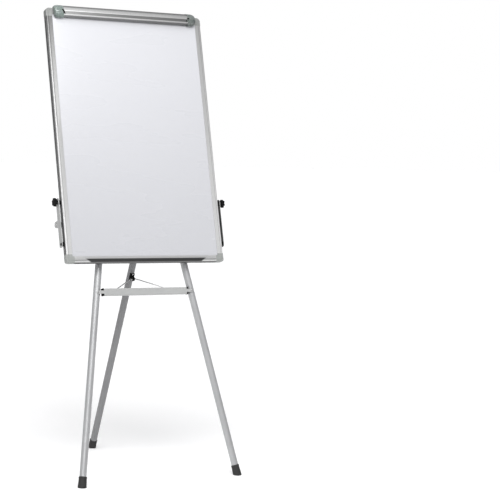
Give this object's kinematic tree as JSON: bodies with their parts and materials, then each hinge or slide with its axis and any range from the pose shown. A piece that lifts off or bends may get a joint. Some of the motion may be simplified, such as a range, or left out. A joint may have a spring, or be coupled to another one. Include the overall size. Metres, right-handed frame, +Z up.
{
  "type": "flipchart easel",
  "caption": "Flipchart easel with a framed dry-erase whiteboard, a sprung paper clamp along its top edge and a folding tripod stand",
  "frame": {"origin": "middle of the footprint on the floor (bottom centre of the bounding box)", "axes": "+Z up, +X to the right of a person facing the board, +Y from the front of the board to its back"},
  "size_m": [0.6516, 0.6168, 1.6032],
  "materials": {
    "leg_paint": "satin",
    "rubber": "matt",
    "black_plastic": "matt",
    "plate_paint": "satin",
    "bright_steel": "satin",
    "anodised": "satin anodised",
    "grey_plastic": "satin",
    "writing_sheet": "gloss",
    "core": "matt",
    "back_sheet": "satin"
  },
  "bodies": {
    "stand": {"left_front_leg": "leg_paint", "right_front_leg": "leg_paint", "left_front_foot": "rubber", "right_front_foot": "rubber", "left_leg_socket": "black_plastic", "right_leg_socket": "black_plastic", "left_side_plate": "plate_paint", "right_side_plate": "plate_paint", "left_upper_spacer": "black_plastic", "right_upper_spacer": "black_plastic", "left_lower_spacer": "black_plastic", "right_lower_spacer": "black_plastic", "left_slot_block": "black_plastic", "right_slot_block": "black_plastic", "cross_tube": "leg_paint", "tube_plugs": "black_plastic", "crossbar_plugs": "black_plastic", "tube_end_screws": "bright_steel", "leg_socket_screws": "bright_steel", "crossbar": "plate_paint", "crossbar_rivets": "bright_steel", "brace_clips": "plate_paint", "rear_hinge_bracket": "plate_paint", "rear_hinge_pin": "bright_steel", "guide_screws": "bright_steel", "knob_slot_nuts": "bright_steel"},
    "board": {"writing_surface": "writing_sheet", "board_core": "core", "back_sheet": "back_sheet", "left_side_rail": "anodised", "right_side_rail": "anodised", "top_rail": "anodised", "bottom_rail": "anodised", "top_left_corner": "grey_plastic", "top_right_corner": "grey_plastic", "bottom_left_corner": "grey_plastic", "bottom_right_corner": "grey_plastic", "corner_screws": "bright_steel", "clamp_rod": "bright_steel", "clamp_bracket_screws": "bright_steel", "clamp_slot_nuts": "bright_steel", "left_clamp_bracket": "bright_steel", "right_clamp_bracket": "bright_steel", "left_clamp_spring": "bright_steel", "right_clamp_spring": "bright_steel"},
    "clamp": {"clamp_bar": "anodised", "left_clamp_cap": "grey_plastic", "right_clamp_cap": "grey_plastic"},
    "left_washer": {"left_knob_washer": "bright_steel"},
    "right_washer": {"right_knob_washer": "bright_steel"},
    "left_knob_turner": {"left_knob": "black_plastic", "left_knob_stud": "bright_steel"},
    "right_knob_turner": {"right_knob": "black_plastic", "right_knob_stud": "bright_steel"},
    "rear_leg_body": {"rear_leg": "leg_paint", "rear_leg_plug": "black_plastic", "rear_foot": "rubber", "brace_catch": "black_plastic", "catch_rivets": "bright_steel"},
    "brace": {"brace_wire": "bright_steel"}
  },
  "joints": [
    {"name": "board_slide", "type": "slide", "parent": "stand", "child": "board", "axis": [0, 0.284, 0.9588], "range_m": [-0.64, 0.02]},
    {"name": "clamp_open", "type": "hinge", "parent": "board", "child": "clamp", "pos_m": [0, 0.13426, 1.5965], "axis": [-1, 0, 0], "range_deg": [0, 20], "stiffness_Nm_per_rad": 0.8, "springref_deg": -28.65},
    {"name": "left_knob_screw", "type": "slide", "parent": "stand", "child": "left_washer", "axis": [-1, 0, 0], "range_m": [0, 0.002]},
    {"name": "right_knob_screw", "type": "slide", "parent": "stand", "child": "right_washer", "axis": [1, 0, 0], "range_m": [0, 0.002]},
    {"name": "left_knob_turn", "type": "hinge", "parent": "left_washer", "child": "left_knob_turner", "pos_m": [-0.3125, -0.05382, 0.92986], "axis": [-1, 0, 0], "range_deg": [0, 720]},
    {"name": "right_knob_turn", "type": "hinge", "parent": "right_washer", "child": "right_knob_turner", "pos_m": [0.3125, -0.05382, 0.92986], "axis": [1, 0, 0], "range_deg": [0, 720]},
    {"name": "rear_leg_fold", "type": "hinge", "parent": "stand", "child": "rear_leg_body", "pos_m": [0, -0.05206, 0.81608], "axis": [-1, 0, 0], "range_deg": [0, 30]},
    {"name": "brace_fold", "type": "hinge", "parent": "stand", "child": "brace", "pos_m": [0, -0.10511, 0.62643], "axis": [-1, 0, 0], "range_deg": [0, 128.1]}
  ],
  "couplings": [
    {"joint": "left_knob_turn", "follows": "left_knob_screw", "rad_per_m": 6283},
    {"joint": "right_knob_turn", "follows": "right_knob_screw", "rad_per_m": 6283},
    {"joint": "brace_fold", "follows": "rear_leg_fold", "ratio": 4.2667}
  ]
}
